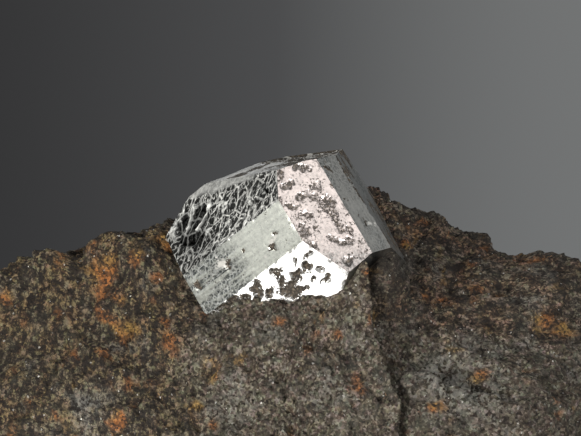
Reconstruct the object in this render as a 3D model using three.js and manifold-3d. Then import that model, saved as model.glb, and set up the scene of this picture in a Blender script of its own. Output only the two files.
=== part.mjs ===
// A cobaltite crystal, cube with pyritohedron, half sunk in a broken lump of its matrix rock.
// Millimetres, +Z up. The origin is the middle of the lump's flat underside.
import * as THREE from 'three';
import { mergeVertices } from 'three/addons/utils/BufferGeometryUtils.js';
import Module from 'manifold-3d';

const wasm = await Module();
wasm.setup();

// Looking direction of the whole model: level with +Y, tipped down by this angle.
const TIP_DEG = 10;
const TIP = THREE.MathUtils.degToRad(TIP_DEG);
const RIGHT = new THREE.Vector3(1, 0, 0);
const UP = new THREE.Vector3(0, Math.sin(TIP), Math.cos(TIP));
const TOWARD = new THREE.Vector3(0, -Math.cos(TIP), Math.sin(TIP));
const SIGHT = new THREE.Vector3(0, -5, 21.3);

// Driving dimensions of the crystal.
const CRYSTAL_CENTRE = new THREE.Vector3(0.26, 2.16, 18.0);
const CUBE_REACH = 6.1;
const PYRITOHEDRON_REACH = 6.15;
const SOCKET_GAP = 0.25;

// Driving dimensions of the rock. It is drawn round its heart, and then moved so that the middle
// of its foot is the origin.
const FOOT_MIDDLE = new THREE.Vector3(0.1, 2.13, 0);
const ROCK_HEART = new THREE.Vector3(0, 2, 0);
const STEPS_AROUND = 104;
const STEPS_UP = 30;
const EDGE_SOFTNESS = 0.45;

// Crystal axes, as seen: right, up and toward the viewer.
const AXIS_A = seen(-0.561, -0.142, 0.816).normalize();
const AXIS_C = seen(0.662, 0.516, 0.544).normalize();
const AXIS_B = new THREE.Vector3().crossVectors(AXIS_C, AXIS_A).normalize();

function seen(right, up, toward) {
  return new THREE.Vector3()
    .addScaledVector(RIGHT, right)
    .addScaledVector(UP, up)
    .addScaledVector(TOWARD, toward);
}

function mix(a, b, t) {
  return a + (b - a) * t;
}

function step(low, high, value) {
  const t = Math.min(Math.max((value - low) / (high - low), 0), 1);
  return t * t * (3 - 2 * t);
}

// A fraction from 0 to 1 made from four whole numbers, the same on every run.
function scatter(ix, iy, iz, seed) {
  let h = Math.imul(ix, 374761393) ^ Math.imul(iy, 668265263);
  h = h ^ Math.imul(iz, 1440662683) ^ Math.imul(seed, 1013904223);
  h = Math.imul(h ^ (h >>> 15), 2246822519);
  h = Math.imul(h ^ (h >>> 13), 3266489917);
  return ((h ^ (h >>> 16)) >>> 0) / 4294967296;
}

// Broken facets: space is split into cells round scattered seeds, and each cell is a flat chip
// with its own tilt and height. The result runs from about -1 to 1.
function chips(point, size, seed) {
  const p = point.clone().divideScalar(size);
  const home = [Math.floor(p.x), Math.floor(p.y), Math.floor(p.z)];
  let nearest = Infinity;
  let value = 0;
  for (let dx = -1; dx <= 1; dx += 1) {
    for (let dy = -1; dy <= 1; dy += 1) {
      for (let dz = -1; dz <= 1; dz += 1) {
        const ix = home[0] + dx;
        const iy = home[1] + dy;
        const iz = home[2] + dz;
        const rx = p.x - ix - scatter(ix, iy, iz, seed);
        const ry = p.y - iy - scatter(ix, iy, iz, seed + 1);
        const rz = p.z - iz - scatter(ix, iy, iz, seed + 2);
        const distance = rx * rx + ry * ry + rz * rz;
        if (distance < nearest) {
          nearest = distance;
          const tilt = rx * (scatter(ix, iy, iz, seed + 3) - 0.5)
            + ry * (scatter(ix, iy, iz, seed + 4) - 0.5)
            + rz * (scatter(ix, iy, iz, seed + 5) - 0.5);
          value = 1.6 * tilt + 0.8 * (scatter(ix, iy, iz, seed + 6) - 0.5);
        }
      }
    }
  }
  return value;
}

// The broken faces of the lump: outward direction, and a point that the face passes through.
function brokenFace(facing, through) {
  const normal = new THREE.Vector3(...facing).normalize();
  return { normal, reach: new THREE.Vector3(...through).sub(ROCK_HEART).dot(normal) };
}

const FRONT = brokenFace([-0.12, -0.84, 0.53], [-5.0, -1.3, 14.7]);
const BLOCK = brokenFace([-0.3, -0.84, 0.45], [0, -3.6, 15.9]);

const OTHER_FACES = [
  brokenFace([0, -0.97, 0.24], [0, -9.9, 3]),
  brokenFace([0.288, -0.449, 0.847], [9.6, -3.8, 14.0]),
  brokenFace([-0.235, 0.2, 0.951], [-8.5, 1.9, 19.2]),
  brokenFace([0.26, 0.6, 0.757], [4.7, 7.2, 21.4]),
  brokenFace([-0.3, 0.75, 0.59], [-8, 8.6, 17.6]),
  brokenFace([-0.1, 0.97, 0.22], [0, 13.6, 6]),
  brokenFace([0.25, 0.95, 0.2], [8, 13, 6]),
  brokenFace([-0.97, -0.05, 0.24], [-22.6, 3, 10]),
  brokenFace([0.96, 0.1, 0.26], [22.6, 3, 10]),
  brokenFace([-0.72, -0.62, 0.31], [-17.6, -6, 5]),
  brokenFace([0.7, -0.64, 0.31], [17.6, -6, 5]),
  brokenFace([-0.7, 0.66, 0.27], [-16, 11, 5]),
  brokenFace([0.68, 0.68, 0.27], [17, 11, 5]),
];

// Humps and hollows on the lump: middle, half width, and how far it stands out.
const HUMPS = [
  { middle: [5.6, -4.0, 17.8], half: 1.9, out: 4.6 },
  { middle: [-10.8, 2.1, 18.7], half: 1.5, out: 0.9 },
  { middle: [-12.6, 2.1, 18.2], half: 0.9, out: 0.4 },
  { middle: [-7.7, 1.4, 18.6], half: 1.4, out: -1.4 },
  { middle: [-8.2, 5.8, 19.0], half: 1.7, out: 0.4 },
  { middle: [-5.1, -1.4, 14.7], half: 1.5, out: -0.45 },
  { middle: [-15.6, 2.1, 17.7], half: 1.3, out: 1.1 },
  { middle: [-13.8, 2.1, 18.0], half: 0.7, out: -0.5 },
  { middle: [-6.4, -0.6, 17.0], half: 1.7, out: -1.3 },
  { middle: [5.6, 7.2, 21.3], half: 1.6, out: 0.2 },
  { middle: [13.0, 7.0, 18.8], half: 3.0, out: -1.3 },
  { middle: [11.3, 7.0, 19.0], half: 0.9, out: -0.45 },
  { middle: [12.9, 7.0, 18.4], half: 0.75, out: 0.85 },
  { middle: [15.2, 7.0, 18.0], half: 1.9, out: -1.0 },
  { middle: [-12.0, -4.5, 11.0], half: 2.6, out: 0.7 },
  { middle: [-16.0, -2.5, 12.5], half: 2.0, out: -0.6 },
  { middle: [13.0, -5.5, 10.0], half: 2.6, out: 0.6 },
  { middle: [9.2, -1.2, 15.8], half: 1.5, out: -0.5 },
  { middle: [18.5, 4.5, 15.5], half: 3.2, out: 1.4 },
  { middle: [-6.0, 13.0, 9.0], half: 3.5, out: 1.0 },
  { middle: [9.0, 12.0, 12.0], half: 3.0, out: -0.9 },
];

// The front block under the crystal stands out more and more to the right, and ends at a sharp
// edge that leans outward as it goes down, with a shallow groove beside it. Beyond the edge part
// of the block's height is left, low down.
const BLOCK_EDGE_X = 4.4;
const BLOCK_EDGE_Z = 16.3;
const BLOCK_EDGE_LEAN = 0.36;
const BLOCK_EDGE_CURVE = 0.0115;
const BLOCK_EDGE_DROP = 9;
const BLOCK_EDGE_SHARPNESS = 0.5;
const LEFT_BEYOND_EDGE = 0.45;
const LEFT_BELOW = 13.5;
const NONE_LEFT_ABOVE = 15.5;
const GROOVE_DEPTH = 0.5;
const GROOVE_WIDTH = 0.8;
const GROOVE_TOP = 16.2;

function alongRay(direction, reach) {
  return direction.clone().multiplyScalar(reach).add(ROCK_HEART);
}

function faceReach(face, direction) {
  const facing = face.normal.dot(direction);
  return facing > 0.02 ? face.reach / facing : Infinity;
}

function frontReach(direction) {
  const plain = faceReach(FRONT, direction);
  const block = faceReach(BLOCK, direction);
  if (plain === Infinity || block === Infinity) {
    return plain;
  }
  const point = alongRay(direction, block);
  const drop = Math.min(BLOCK_EDGE_Z - point.z, BLOCK_EDGE_DROP);
  const edge = BLOCK_EDGE_X + (BLOCK_EDGE_LEAN + BLOCK_EDGE_CURVE * drop) * drop;
  const beyond = point.x - edge;
  const inside = 1 - step(0, BLOCK_EDGE_SHARPNESS, beyond);
  const groove = Math.exp(-(((beyond - BLOCK_EDGE_SHARPNESS) / GROOVE_WIDTH) ** 2)) * (1 - inside);
  const below = 1 - step(GROOVE_TOP - 2, GROOVE_TOP, point.z);
  const left = LEFT_BEYOND_EDGE * (1 - step(LEFT_BELOW, NONE_LEFT_ABOVE, point.z));
  const share = left + (1 - left) * inside;
  return plain + share * Math.max(block - plain, 0) - GROOVE_DEPTH * groove * below;
}

// Each hump is judged by how near the ray passes to its middle.
function humps(direction) {
  return HUMPS.reduce((sum, { middle, half, out }) => {
    const rise = new THREE.Vector3(...middle).sub(ROCK_HEART);
    const along = rise.dot(direction);
    if (along < 0) {
      return sum;
    }
    const miss = (rise.lengthSq() - along * along) / (half * half);
    return sum + out * Math.exp(-miss);
  }, 0);
}

// Distance from the heart to the surface: the nearest broken face in that direction, with its
// corners softened, then the humps and the chips of the fracture, calmer beside the crystal.
function rockReach(direction) {
  const reaches = [frontReach(direction), ...OTHER_FACES.map((face) => faceReach(face, direction))];
  const sum = reaches.reduce((total, reach) => total + Math.exp(-reach / EDGE_SOFTNESS), 0);
  const plain = -EDGE_SOFTNESS * Math.log(sum);
  const point = alongRay(direction, plain);
  const away = step(7, 11, point.distanceTo(CRYSTAL_CENTRE));
  const coarse = mix(0.3, 1.0, away) * chips(point, 6.5, 11);
  const middling = mix(0.3, 0.55, away) * chips(point, 2.6, 23);
  return plain + humps(direction) + coarse + middling;
}

// A ring of points for each step from the top of the lump down to its flat underside.
function rockGeometry() {
  const positions = [];
  const indices = [];
  const put = (direction) => {
    const point = alongRay(direction, rockReach(direction));
    positions.push(point.x, point.y, point.z);
  };
  put(new THREE.Vector3(0, 0, 1));
  for (let row = 1; row <= STEPS_UP; row += 1) {
    const fromTop = (row / STEPS_UP) * Math.PI / 2;
    for (let column = 0; column < STEPS_AROUND; column += 1) {
      const around = (column / STEPS_AROUND) * Math.PI * 2;
      const level = row === STEPS_UP ? 0 : Math.cos(fromTop);
      put(new THREE.Vector3(
        Math.sin(fromTop) * Math.cos(around),
        Math.sin(fromTop) * Math.sin(around),
        level,
      ));
    }
  }
  positions.push(ROCK_HEART.x, ROCK_HEART.y, 0);
  const ring = (row, column) => 1 + (row - 1) * STEPS_AROUND + (column % STEPS_AROUND);
  const under = positions.length / 3 - 1;
  for (let column = 0; column < STEPS_AROUND; column += 1) {
    indices.push(0, ring(1, column), ring(1, column + 1));
    for (let row = 1; row < STEPS_UP; row += 1) {
      indices.push(ring(row, column), ring(row + 1, column), ring(row + 1, column + 1));
      indices.push(ring(row, column), ring(row + 1, column + 1), ring(row, column + 1));
    }
    indices.push(under, ring(STEPS_UP, column + 1), ring(STEPS_UP, column));
  }
  const geometry = new THREE.BufferGeometry();
  geometry.setAttribute('position', new THREE.Float32BufferAttribute(positions, 3));
  geometry.setIndex(indices);
  return geometry;
}

// Faces of the crystal: Miller indices and distance from the centre.
function crystalFace(indices, reach) {
  const normal = new THREE.Vector3()
    .addScaledVector(AXIS_A, indices[0])
    .addScaledVector(AXIS_B, indices[1])
    .addScaledVector(AXIS_C, indices[2])
    .normalize();
  return { normal, reach };
}

const FRONT_CUBE = crystalFace([1, 0, 0], 5.87);
const WHITE = crystalFace([2, 1, 0], 5.79);
const PITTED = crystalFace([1, 0, 2], 6.9);
const ETCHED = crystalFace([2, -1, 0], 6.02);
const RIGHT_CUBE = crystalFace([0, 0, 1], 6.47);

const CRYSTAL_FACES = [
  FRONT_CUBE,
  WHITE,
  PITTED,
  ETCHED,
  RIGHT_CUBE,
  crystalFace([-1, 0, 2], 5.63),
  crystalFace([0, -2, 1], 5.69),
  crystalFace([1, 0, -2], 6.4),
  crystalFace([0, -2, -1], 6.5),
  crystalFace([-1, 0, 0], CUBE_REACH),
  crystalFace([0, 1, 0], CUBE_REACH),
  crystalFace([0, -1, 0], CUBE_REACH),
  crystalFace([0, 0, -1], CUBE_REACH),
  crystalFace([-2, 1, 0], PYRITOHEDRON_REACH),
  crystalFace([-2, -1, 0], PYRITOHEDRON_REACH),
  crystalFace([0, 2, 1], PYRITOHEDRON_REACH),
  crystalFace([0, 2, -1], PYRITOHEDRON_REACH),
  crystalFace([-1, 0, -2], PYRITOHEDRON_REACH),
];

// The upper edge of the etched face is worn down to a narrow flat.
const WORN_EDGE = { normal: seen(-0.27, 0.955, 0.12).normalize(), reach: 5.72 };

// Corners of the solid inside all the planes: every triple of planes that meets on or inside
// all the others. Each face is then a fan round its own corners.
function polyhedron(faces, grow) {
  const planes = faces.map(({ normal, reach }) => ({ normal, reach: reach + grow }));
  const positions = [];
  planes.forEach((plane, own) => {
    const corners = [];
    planes.forEach((second, j) => {
      planes.slice(j + 1).forEach((third, offset) => {
        const k = j + 1 + offset;
        if (j === own || k === own) {
          return;
        }
        const corner = meet(plane, second, third);
        const kept = corner && planes.every((other) => other.normal.dot(corner) < other.reach + 1e-5);
        if (kept && !corners.some((known) => known.distanceTo(corner) < 1e-4)) {
          corners.push(corner);
        }
      });
    });
    if (corners.length < 3) {
      return;
    }
    const middle = corners.reduce((sum, c) => sum.add(c), new THREE.Vector3()).divideScalar(corners.length);
    const start = corners[0].clone().sub(middle).normalize();
    const side = new THREE.Vector3().crossVectors(plane.normal, start);
    const angle = (c) => Math.atan2(c.clone().sub(middle).dot(side), c.clone().sub(middle).dot(start));
    corners.sort((a, b) => angle(a) - angle(b));
    for (let i = 1; i + 1 < corners.length; i += 1) {
      [corners[0], corners[i], corners[i + 1]].forEach((c) => positions.push(c.x, c.y, c.z));
    }
  });
  const geometry = new THREE.BufferGeometry();
  geometry.setAttribute('position', new THREE.Float32BufferAttribute(positions, 3));
  geometry.translate(CRYSTAL_CENTRE.x, CRYSTAL_CENTRE.y, CRYSTAL_CENTRE.z);
  return geometry;
}

function meet(first, second, third) {
  const cross = new THREE.Vector3().crossVectors(second.normal, third.normal);
  const volume = first.normal.dot(cross);
  if (Math.abs(volume) < 1e-6) {
    return null;
  }
  return cross.multiplyScalar(first.reach)
    .add(new THREE.Vector3().crossVectors(third.normal, first.normal).multiplyScalar(second.reach))
    .add(new THREE.Vector3().crossVectors(first.normal, second.normal).multiplyScalar(third.reach))
    .divideScalar(volume);
}

// The point of a face that is seen so far right of and above the line of sight.
function onFace(face, right, up) {
  const point = SIGHT.clone().addScaledVector(RIGHT, right).addScaledVector(UP, up);
  const short = face.reach - point.clone().sub(CRYSTAL_CENTRE).dot(face.normal);
  return point.addScaledVector(TOWARD, short / TOWARD.dot(face.normal));
}

// A pit is a small blunt lump, longer than it is wide, pressed into a face and turned on it.
function pitGeometry(face, right, up, long, wide, turnDeg, deep) {
  const geometry = new THREE.IcosahedronGeometry(1, wide > 0.7 ? 1 : 0);
  geometry.scale(long / 2, wide / 2, deep);
  const across = new THREE.Vector3().crossVectors(UP, face.normal).normalize();
  const along = new THREE.Vector3().crossVectors(face.normal, across);
  const turn = new THREE.Matrix4().makeRotationAxis(face.normal, THREE.MathUtils.degToRad(turnDeg));
  const frame = new THREE.Matrix4().makeBasis(across, along, face.normal).premultiply(turn);
  const middle = onFace(face, right, up);
  geometry.applyMatrix4(frame);
  geometry.translate(middle.x, middle.y, middle.z);
  return geometry;
}

// Single pits: face, place as seen, length, width, turn and depth.
const PITS = [
  [WHITE, -0.85, -3.3, 1.5, 0.8, 80, 0.3],
  [WHITE, 0.55, -3.25, 1.6, 1.1, 60, 0.3],
  [WHITE, 2.1, -3.3, 1.4, 1.0, 100, 0.25],
  [WHITE, 1.2, -2.5, 0.6, 0.35, 20, 0.15],
  [PITTED, -0.05, 2.0, 0.9, 0.4, 10, 0.25],
  [PITTED, 0.55, 2.9, 0.6, 0.4, 40, 0.2],
  [PITTED, 1.9, 2.4, 0.7, 0.45, 120, 0.2],
  [PITTED, 1.3, 1.7, 0.6, 0.4, 30, 0.2],
  [PITTED, 0.85, 0.75, 0.6, 0.4, 150, 0.2],
  [PITTED, 1.65, 0.2, 0.8, 0.45, 60, 0.25],
  [PITTED, 2.8, 0.7, 1.1, 0.6, 110, 0.3],
  [PITTED, 3.0, -0.45, 1.2, 0.55, 70, 0.3],
  [PITTED, 2.4, -1.3, 2.2, 0.35, 5, 0.2],
  [FRONT_CUBE, -1.1, -1.5, 0.9, 0.4, 80, 0.25],
  [FRONT_CUBE, -3.6, -2.65, 1.0, 0.6, 70, 0.2],
];

// The etched face is eaten into hollows with sharp ridges between them. They are large and deep
// at its lower left and small at its upper right.
const ETCH_ROWS = 6;
const ETCH_COLUMNS = 6;

function etchHollows() {
  const hollows = [];
  for (let row = 0; row < ETCH_ROWS; row += 1) {
    for (let column = 0; column < ETCH_COLUMNS; column += 1) {
      const across = (column + 0.25 + 0.5 * scatter(row, column, 1, 5)) / ETCH_COLUMNS;
      const upward = (row + 0.25 + 0.5 * scatter(row, column, 2, 5)) / ETCH_ROWS;
      const right = mix(-7.1, -1.0, across);
      const up = mix(-2.4, 2.7, upward);
      const lowEdge = mix(-3.1, 0.9, (right + 6.6) / 5.8);
      const highEdge = mix(0.4, 2.5, step(-6.9, -5.2, right));
      if (up > lowEdge + 0.25 && up < highEdge - 0.1) {
        const coarse = 1 - across;
        const long = mix(0.95, 1.8, coarse);
        const wide = mix(0.6, 1.1, coarse);
        const turn = 55 + 60 * (scatter(row, column, 3, 5) - 0.5);
        hollows.push([ETCHED, right, up, long, wide, turn, mix(0.2, 0.42, coarse)]);
      }
    }
  }
  return hollows;
}

function toSolid(geometry) {
  const bare = geometry.clone();
  bare.deleteAttribute('normal');
  bare.deleteAttribute('uv');
  const merged = mergeVertices(bare, 1e-4);
  const mesh = new wasm.Mesh({
    numProp: 3,
    vertProperties: new Float32Array(merged.attributes.position.array),
    triVerts: new Uint32Array(merged.index.array),
  });
  return new wasm.Manifold(mesh);
}

function toGeometry(solid) {
  const mesh = solid.getMesh();
  const geometry = new THREE.BufferGeometry();
  geometry.setAttribute('position', new THREE.BufferAttribute(new Float32Array(mesh.vertProperties), 3));
  geometry.setIndex(new THREE.BufferAttribute(new Uint32Array(mesh.triVerts), 1));
  geometry.computeVertexNormals();
  return geometry;
}

function crystalSolid() {
  let solid = toSolid(polyhedron([...CRYSTAL_FACES, WORN_EDGE], 0));
  for (const pit of [...PITS, ...etchHollows()]) {
    solid = solid.subtract(toSolid(pitGeometry(...pit)));
  }
  return solid;
}

function rockSolid() {
  const socket = toSolid(polyhedron([...CRYSTAL_FACES, WORN_EDGE], SOCKET_GAP));
  return toSolid(rockGeometry()).subtract(socket);
}

// Only the largest body is kept, without the loose flakes that a cut can leave.
function largest(solid) {
  return solid.decompose().reduce((best, piece) => (piece.volume() > best.volume() ? piece : best));
}

const crystalMaterial = new THREE.MeshStandardMaterial({
  color: 0xb4aca3,
  roughness: 0.28,
  metalness: 1,
  flatShading: true,
});

const rockMaterial = new THREE.MeshStandardMaterial({
  color: 0x5a5043,
  roughness: 0.9,
  metalness: 0,
  flatShading: true,
});

const crystal = new THREE.Mesh(toGeometry(largest(crystalSolid())), crystalMaterial);
crystal.name = 'cobaltite_crystal';

const rock = new THREE.Mesh(toGeometry(largest(rockSolid())), rockMaterial);
rock.name = 'matrix_rock';

const cobaltite = new THREE.Group();
cobaltite.add(crystal, rock);
cobaltite.position.copy(FOOT_MIDDLE).negate();

export default cobaltite;
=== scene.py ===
"""The looks of a cobaltite crystal on its matrix rock.

Shapes are worked out in millimetres round the rock's heart, as seen along the photograph's line
of sight, and put in place in metres at the end. Every surface is a function of two parameters
on a grid.
"""
import itertools
import math

import bpy
import numpy as np
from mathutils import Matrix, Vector


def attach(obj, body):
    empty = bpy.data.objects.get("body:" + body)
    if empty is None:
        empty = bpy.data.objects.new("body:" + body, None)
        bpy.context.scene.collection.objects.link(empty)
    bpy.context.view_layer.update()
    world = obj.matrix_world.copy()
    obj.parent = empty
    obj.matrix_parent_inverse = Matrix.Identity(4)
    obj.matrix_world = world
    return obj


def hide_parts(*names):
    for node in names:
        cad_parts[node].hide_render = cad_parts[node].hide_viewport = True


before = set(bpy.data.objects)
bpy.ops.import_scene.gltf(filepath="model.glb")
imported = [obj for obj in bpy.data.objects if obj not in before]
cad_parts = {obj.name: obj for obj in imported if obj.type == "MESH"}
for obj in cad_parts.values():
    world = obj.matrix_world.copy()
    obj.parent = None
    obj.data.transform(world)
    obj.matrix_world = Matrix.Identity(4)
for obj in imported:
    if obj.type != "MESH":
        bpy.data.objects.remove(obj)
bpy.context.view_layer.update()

MM = 0.001
FOOT_MIDDLE = np.array([0.1, 2.13, 0.0])

# The line of sight: level with +Y, tipped down.
TIP = math.radians(10)
RIGHT = np.array([1.0, 0.0, 0.0])
UP = np.array([0.0, math.sin(TIP), math.cos(TIP)])
TOWARD = np.array([0.0, -math.cos(TIP), math.sin(TIP)])
SIGHT = np.array([0.0, -5.0, 21.3])
SIGHT_DISTANCE = 156.0
SIGHT_WIDTH = 34.86

CRYSTAL_CENTRE = np.array([0.26, 2.16, 18.0])
CUBE_REACH = 6.1
PYRITOHEDRON_REACH = 6.15
ROCK_HEART = np.array([0.0, 2.0, 0.0])
EDGE_SOFTNESS = 0.45


def to_metres(points):
    """Millimetres round the heart to metres in the row frame."""
    return (points - FOOT_MIDDLE) * MM


def seen(right, up, toward):
    """A direction or a step given as seen: right, up and toward the viewer."""
    return right * RIGHT + up * UP + toward * TOWARD


def seen_place(points):
    """How far right of and above the line of sight each point appears, in millimetres there."""
    away = points - SIGHT
    shrink = SIGHT_DISTANCE / (SIGHT_DISTANCE - away @ TOWARD)
    return away @ RIGHT * shrink, away @ UP * shrink


def step(low, high, value):
    """0 below low, 1 above high, and a smooth rise of 3t^2 - 2t^3 between them."""
    t = np.clip((value - low) / (high - low), 0, 1)
    return t * t * (3 - 2 * t)


def mix(a, b, t):
    """a where t is 0, b where t is 1."""
    return a + (b - a) * t


def unit(v):
    """v with a length of 1."""
    return v / np.linalg.norm(v, axis=-1, keepdims=True)


def scatter(ix, iy, iz, seed):
    """A fraction from 0 to 1 from whole numbers: products and shifted exclusive ors of 32 bits."""
    whole = [np.asarray(n).astype(np.int64).astype(np.uint32) for n in (ix, iy, iz)]
    h = whole[0] * np.uint32(374761393) ^ whole[1] * np.uint32(668265263)
    h = h ^ whole[2] * np.uint32(1440662683)
    h = h ^ np.uint32(seed * 1013904223 & 0xFFFFFFFF)
    h = (h ^ (h >> np.uint32(15))) * np.uint32(2246822519)
    h = (h ^ (h >> np.uint32(13))) * np.uint32(3266489917)
    return (h ^ (h >> np.uint32(16))) / 4294967296.0


def neighbours(points, size, seed):
    """Each of the 27 cells round every point: its whole-number place and the step from its seed."""
    p = points / size
    home = np.floor(p)
    for shift in itertools.product((-1, 0, 1), repeat=3):
        cell = home + np.array(shift)
        x, y, z = cell.T
        own = np.stack([scatter(x, y, z, seed + k) for k in range(3)], axis=1)
        yield (x, y, z), p - cell - own


def chips(points, size, seed):
    """Broken facets: each cell round a scattered seed is flat, 1.6 times a random slope times the
    step from the seed, plus a random height of up to 0.4 either way. Near a wall between two
    cells their heights blend."""
    first = np.full(len(points), np.inf)
    second = np.full(len(points), np.inf)
    value = np.zeros(len(points))
    other = np.zeros(len(points))
    for cell, away in neighbours(points, size, seed):
        distance = np.linalg.norm(away, axis=1)
        slope = np.stack([scatter(*cell, seed + k) - 0.5 for k in (3, 4, 5)], axis=1)
        height = 1.6 * (away * slope).sum(axis=1) + 0.8 * (scatter(*cell, seed + 6) - 0.5)
        closest = distance < first
        other = np.where(closest, value, np.where(distance < second, height, other))
        second = np.minimum(second, np.maximum(distance, first))
        value = np.where(closest, height, value)
        first = np.minimum(first, distance)
    return mix(value, other, 0.5 - 0.5 * step(0, 0.2, second - first))


def flagstones(points, size, seed):
    """The seed that each point is nearest to, so that a pattern read there has angular edges."""
    first = np.full(len(points), np.inf)
    home = np.zeros_like(points)
    for _, away in neighbours(points, size, seed):
        distance = np.linalg.norm(away, axis=1)
        home = np.where((distance < first)[:, None], points - away * size, home)
        first = np.minimum(first, distance)
    return home


def cloud(points, size, seed):
    """Smooth noise from 0 to 1: random values on a lattice, blended by 3t^2 - 2t^3 each way."""
    p = points / size
    home = np.floor(p)
    t = p - home
    t = t * t * (3 - 2 * t)
    total = np.zeros(len(points))
    for shift in itertools.product((0, 1), repeat=3):
        weight = np.prod(np.where(np.array(shift) == 1, t, 1 - t), axis=1)
        x, y, z = (home + np.array(shift)).T
        total += weight * scatter(x, y, z, seed)
    return total


def layered(points, size, seed, layers=4):
    """Cloud noise in layers of half the size and half the strength, from 0 to 1."""
    strengths = [0.5**k for k in range(layers)]
    total = sum(s * cloud(points, size * s, seed + 7 * k) for k, s in enumerate(strengths))
    return total / sum(strengths)


def ellipse(right, up, spot):
    """exp(-r^2) round a spot: place, half lengths and turn, as seen, with r in half lengths."""
    x, y, half_long, half_wide, turn = spot
    c, s = math.cos(math.radians(turn)), math.sin(math.radians(turn))
    along = ((right - x) * c + (up - y) * s) / half_long
    across = ((up - y) * c - (right - x) * s) / half_wide
    return np.exp(-(along**2) - across**2)


def covered(right, up, spots):
    """How far each point is covered by the spots: the sum of their ellipses, at most 1."""
    return np.minimum(sum(ellipse(right, up, spot) for spot in spots), 1)


# Rock: broken faces and humps, as in the solid.


def broken_face(facing, through):
    """Outward direction of a flat break, and its distance from the heart."""
    normal = unit(np.array(facing, float))
    return normal, (np.array(through) - ROCK_HEART) @ normal


# Breaks: which way each one faces, and a point that it goes through.
FRONT = broken_face([-0.12, -0.84, 0.53], [-5.0, -1.3, 14.7])
BLOCK = broken_face([-0.3, -0.84, 0.45], [0, -3.6, 15.9])
OTHER_BREAKS = [
    (0, -0.97, 0.24, 0, -9.9, 3), (0.288, -0.449, 0.847, 9.6, -3.8, 14.0),
    (-0.235, 0.2, 0.951, -8.5, 1.9, 19.2), (0.26, 0.6, 0.757, 4.7, 7.2, 21.4),
    (-0.3, 0.75, 0.59, -8, 8.6, 17.6), (-0.1, 0.97, 0.22, 0, 13.6, 6),
    (0.25, 0.95, 0.2, 8, 13, 6), (-0.97, -0.05, 0.24, -22.6, 3, 10),
    (0.96, 0.1, 0.26, 22.6, 3, 10), (-0.72, -0.62, 0.31, -17.6, -6, 5),
    (0.7, -0.64, 0.31, 17.6, -6, 5), (-0.7, 0.66, 0.27, -16, 11, 5),
    (0.68, 0.68, 0.27, 17, 11, 5),
]
OTHER_FACES = [broken_face(row[:3], row[3:]) for row in OTHER_BREAKS]

# Middle, half width and how far out. The first is the large lump.
HUMPS = [
    (5.6, -4.0, 17.8, 1.9, 4.6), (-10.8, 2.1, 18.7, 1.5, 0.9), (-12.6, 2.1, 18.2, 0.9, 0.4),
    (-7.7, 1.4, 18.6, 1.4, -1.4), (-8.2, 5.8, 19.0, 1.7, 0.4), (-5.1, -1.4, 14.7, 1.5, -0.45),
    (-15.6, 2.1, 17.7, 1.3, 1.1), (-13.8, 2.1, 18.0, 0.7, -0.5), (-6.4, -0.6, 17.0, 1.7, -1.3),
    (5.6, 7.2, 21.3, 1.6, 0.2), (13.0, 7.0, 18.8, 3.0, -1.3), (11.3, 7.0, 19.0, 0.9, -0.45),
    (12.9, 7.0, 18.4, 0.75, 0.85), (15.2, 7.0, 18.0, 1.9, -1.0), (-12.0, -4.5, 11.0, 2.6, 0.7),
    (-16.0, -2.5, 12.5, 2.0, -0.6), (13.0, -5.5, 10.0, 2.6, 0.6), (9.2, -1.2, 15.8, 1.5, -0.5),
    (18.5, 4.5, 15.5, 3.2, 1.4), (-6.0, 13.0, 9.0, 3.5, 1.0), (9.0, 12.0, 12.0, 3.0, -0.9),
]

# The front block's edge: its place high up, how it leans and curves, and how far down it does.
BLOCK_EDGE_X = 4.4
BLOCK_EDGE_Z = 16.3
BLOCK_EDGE_LEAN = 0.36
BLOCK_EDGE_CURVE = 0.0115
BLOCK_EDGE_DROP = 9
BLOCK_EDGE_SHARPNESS = 0.5
LEFT_BEYOND_EDGE = 0.45
LEFT_BELOW = 13.5
NONE_LEFT_ABOVE = 15.5
GROOVE_DEPTH = 0.5
GROOVE_WIDTH = 0.8
GROOVE_TOP = 16.2
LEAST_FACING = 0.02
NO_FACE = 1e3

# Chips: strength beside the crystal, strength away from it, size and seed.
COARSE_CHIPS = [
    (0.3, 1.0, 6.5, 11),
    (0.3, 0.55, 2.6, 23),
]
CALM_WITHIN = 7
ROUGH_BEYOND = 11
# Finer chips on bent places: strength, size and seed.
FINE_CHIPS = [
    (0.42, 1.15, 37),
    (0.27, 0.52, 41),
    (0.16, 0.27, 53),
]
LUMP_CHIPS = (0.55, 0.9, 61)
BEND = 0.35
BEND_SIZE = 0.9
BEND_SEEDS = (71, 72, 73)
SINK = 1.2


def along_ray(directions, reach):
    """The point that far from the heart in each direction."""
    return directions * reach[:, None] + ROCK_HEART


def face_reach(face, directions):
    """Distance from the heart to a flat break: its own distance over the cosine."""
    normal, reach = face
    facing = directions @ normal
    slanted = reach / np.maximum(facing, LEAST_FACING)
    return np.where(facing > LEAST_FACING, slanted, NO_FACE)


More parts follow.
